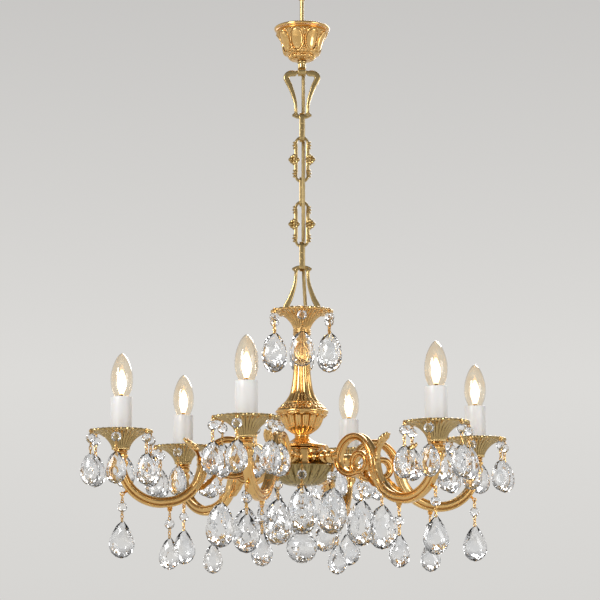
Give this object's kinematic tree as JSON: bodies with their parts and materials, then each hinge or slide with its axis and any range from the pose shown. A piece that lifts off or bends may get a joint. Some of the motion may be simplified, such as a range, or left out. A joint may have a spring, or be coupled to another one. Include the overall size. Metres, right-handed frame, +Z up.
{
  "type": "multi arm chandelier",
  "caption": "Hanging cast brass chandelier with S-scroll arms, candle lamps on fluted pans, cut crystal drops and an ornate chain below a cup canopy.",
  "frame": {"origin": "centre of the ceiling plate's upper face, where it meets the ceiling", "axes": "+Z up into the ceiling along the chandelier's axis, +X along the face of the lyre and leaf links, -Y towards the front"},
  "size_m": [0.6072, 0.5892, 0.8596],
  "materials": {
    "polished_brass": "polished cast brass",
    "antique_brass": "antique brass, slightly darkened",
    "crystal": "cut clear crystal",
    "bulb_glass": "clear candle lamp, lit",
    "steel": "zinc plated",
    "ivory_sleeve": "smooth ivory candle tube",
    "holder": "moulded lampholder",
    "gold_cord": "translucent gold flex"
  },
  "bodies": {
    "ceiling_fixing": {"ceiling_plate": "steel", "ceiling_hook": "steel"},
    "stem": {"hanger_stem": "antique_brass", "supply_cord": "gold_cord"},
    "canopy": {"canopy_cup": "antique_brass"},
    "lyre_upper": {"lyre_link_upper": "antique_brass"},
    "bar_1": {"bar_link_1": "antique_brass"},
    "leaf_1": {"leaf_link_1": "antique_brass"},
    "bar_2": {"bar_link_2": "antique_brass"},
    "leaf_2": {"leaf_link_2": "antique_brass"},
    "bar_3": {"bar_link_3": "antique_brass"},
    "lyre_lower": {"lyre_link_lower": "antique_brass"},
    "frame": {"body_loop": "polished_brass", "tie_rod": "steel", "top_dish": "polished_brass", "column": "polished_brass", "urn_shoulder": "polished_brass", "urn_cup": "polished_brass", "hub_bell": "polished_brass", "hub": "polished_brass", "hub_bowl": "polished_brass", "bowl_finial": "polished_brass", "scroll_arm_1": "polished_brass", "scroll_arm_2": "polished_brass", "scroll_arm_3": "polished_brass", "scroll_arm_4": "polished_brass", "scroll_arm_5": "polished_brass", "scroll_arm_6": "polished_brass", "candle_pan_1": "antique_brass", "candle_pan_2": "antique_brass", "candle_pan_3": "antique_brass", "candle_pan_4": "antique_brass", "candle_pan_5": "antique_brass", "candle_pan_6": "antique_brass", "pan_collars": "antique_brass", "lampholders": "holder", "candle_sleeves": "ivory_sleeve", "middle_strings": "crystal", "pan_strings": "crystal", "dish_strings": "crystal", "bowl_strings": "crystal"},
    "bulb_1": {"bulb_1": "bulb_glass"},
    "bulb_2": {"bulb_2": "bulb_glass"},
    "bulb_3": {"bulb_3": "bulb_glass"},
    "bulb_4": {"bulb_4": "bulb_glass"},
    "bulb_5": {"bulb_5": "bulb_glass"},
    "bulb_6": {"bulb_6": "bulb_glass"},
    "outer_string_1": {"outer_string_1": "crystal"},
    "outer_string_2": {"outer_string_2": "crystal"},
    "outer_string_3": {"outer_string_3": "crystal"},
    "outer_string_4": {"outer_string_4": "crystal"},
    "outer_string_5": {"outer_string_5": "crystal"},
    "outer_string_6": {"outer_string_6": "crystal"},
    "inner_string_1": {"inner_string_1": "crystal"},
    "inner_string_2": {"inner_string_2": "crystal"},
    "inner_string_3": {"inner_string_3": "crystal"},
    "inner_string_4": {"inner_string_4": "crystal"},
    "inner_string_5": {"inner_string_5": "crystal"},
    "inner_string_6": {"inner_string_6": "crystal"},
    "ball_string": {"ball_string": "crystal"}
  },
  "joints": [
    {"name": "stem_swing", "type": "hinge", "parent": "ceiling_fixing", "child": "stem", "pos_m": [0, 0, -0.027], "axis": [1, 0, 0], "range_deg": [-5, 5]},
    {"name": "canopy_lift", "type": "slide", "parent": "stem", "child": "canopy", "axis": [0, 0, 1], "range_m": [0, 0.055]},
    {"name": "lyre_upper_swing", "type": "hinge", "parent": "stem", "child": "lyre_upper", "pos_m": [0, 0, -0.1476], "axis": [1, 0, 0], "range_deg": [-5, 5], "deforming": ["supply_cord"]},
    {"name": "bar_1_swing", "type": "hinge", "parent": "lyre_upper", "child": "bar_1", "pos_m": [0, 0, -0.2066], "axis": [0, 1, 0], "range_deg": [-5, 5]},
    {"name": "leaf_1_swing", "type": "hinge", "parent": "bar_1", "child": "leaf_1", "pos_m": [0, 0, -0.24456], "axis": [1, 0, 0], "range_deg": [-5, 5]},
    {"name": "bar_2_swing", "type": "hinge", "parent": "leaf_1", "child": "bar_2", "pos_m": [0, 0, -0.30082], "axis": [0, 1, 0], "range_deg": [-5, 5]},
    {"name": "leaf_2_swing", "type": "hinge", "parent": "bar_2", "child": "leaf_2", "pos_m": [0, 0, -0.33878], "axis": [1, 0, 0], "range_deg": [-5, 5]},
    {"name": "bar_3_swing", "type": "hinge", "parent": "leaf_2", "child": "bar_3", "pos_m": [0, 0, -0.39504], "axis": [0, 1, 0], "range_deg": [-5, 5]},
    {"name": "lyre_lower_swing", "type": "hinge", "parent": "bar_3", "child": "lyre_lower", "pos_m": [0, 0, -0.433], "axis": [1, 0, 0], "range_deg": [-5, 5]},
    {"name": "frame_swing", "type": "hinge", "parent": "lyre_lower", "child": "frame", "pos_m": [0, 0, -0.50086], "axis": [1, 0, 0], "range_deg": [-5, 5]},
    {"name": "bulb_1_out", "type": "slide", "parent": "frame", "child": "bulb_1", "axis": [0, 0, 1], "range_m": [0, 0.03]},
    {"name": "bulb_2_out", "type": "slide", "parent": "frame", "child": "bulb_2", "axis": [0, 0, 1], "range_m": [0, 0.03]},
    {"name": "bulb_3_out", "type": "slide", "parent": "frame", "child": "bulb_3", "axis": [0, 0, 1], "range_m": [0, 0.03]},
    {"name": "bulb_4_out", "type": "slide", "parent": "frame", "child": "bulb_4", "axis": [0, 0, 1], "range_m": [0, 0.03]},
    {"name": "bulb_5_out", "type": "slide", "parent": "frame", "child": "bulb_5", "axis": [0, 0, 1], "range_m": [0, 0.03]},
    {"name": "bulb_6_out", "type": "slide", "parent": "frame", "child": "bulb_6", "axis": [0, 0, 1], "range_m": [0, 0.03]},
    {"name": "outer_string_1_swing", "type": "hinge", "parent": "frame", "child": "outer_string_1", "pos_m": [0.2458, 0.05992, -0.75955], "axis": [-0.2368, 0.9715, 0], "range_deg": [-12, 12]},
    {"name": "outer_string_2_swing", "type": "hinge", "parent": "frame", "child": "outer_string_2", "pos_m": [0.07101, 0.24283, -0.75955], "axis": [-0.9598, 0.2807, 0], "range_deg": [-12, 12]},
    {"name": "outer_string_3_swing", "type": "hinge", "parent": "frame", "child": "outer_string_3", "pos_m": [-0.17479, 0.18291, -0.75955], "axis": [-0.723, -0.6909, 0], "range_deg": [-12, 12]},
    {"name": "outer_string_4_swing", "type": "hinge", "parent": "frame", "child": "outer_string_4", "pos_m": [-0.2458, -0.05992, -0.75955], "axis": [0.2368, -0.9715, 0], "range_deg": [-12, 12]},
    {"name": "outer_string_5_swing", "type": "hinge", "parent": "frame", "child": "outer_string_5", "pos_m": [-0.07101, -0.24283, -0.75955], "axis": [0.9598, -0.2807, 0], "range_deg": [-12, 12]},
    {"name": "outer_string_6_swing", "type": "hinge", "parent": "frame", "child": "outer_string_6", "pos_m": [0.17479, -0.18291, -0.75955], "axis": [0.723, 0.6909, 0], "range_deg": [-12, 12]},
    {"name": "inner_string_1_swing", "type": "hinge", "parent": "frame", "child": "inner_string_1", "pos_m": [0.1127, 0.02747, -0.73645], "axis": [-0.2368, 0.9715, 0], "range_deg": [-8, 8]},
    {"name": "inner_string_2_swing", "type": "hinge", "parent": "frame", "child": "inner_string_2", "pos_m": [0.03256, 0.11134, -0.73645], "axis": [-0.9598, 0.2807, 0], "range_deg": [-8, 8]},
    {"name": "inner_string_3_swing", "type": "hinge", "parent": "frame", "child": "inner_string_3", "pos_m": [-0.08014, 0.08386, -0.73645], "axis": [-0.723, -0.6909, 0], "range_deg": [-8, 8]},
    {"name": "inner_string_4_swing", "type": "hinge", "parent": "frame", "child": "inner_string_4", "pos_m": [-0.1127, -0.02747, -0.73645], "axis": [0.2368, -0.9715, 0], "range_deg": [-8, 8]},
    {"name": "inner_string_5_swing", "type": "hinge", "parent": "frame", "child": "inner_string_5", "pos_m": [-0.03256, -0.11134, -0.73645], "axis": [0.9598, -0.2807, 0], "range_deg": [-8, 8]},
    {"name": "inner_string_6_swing", "type": "hinge", "parent": "frame", "child": "inner_string_6", "pos_m": [0.08014, -0.08386, -0.73645], "axis": [0.723, 0.6909, 0], "range_deg": [-8, 8]},
    {"name": "ball_swing", "type": "hinge", "parent": "frame", "child": "ball_string", "pos_m": [0, 0, -0.75575], "axis": [0, 1, 0], "range_deg": [-12, 12]}
  ]
}
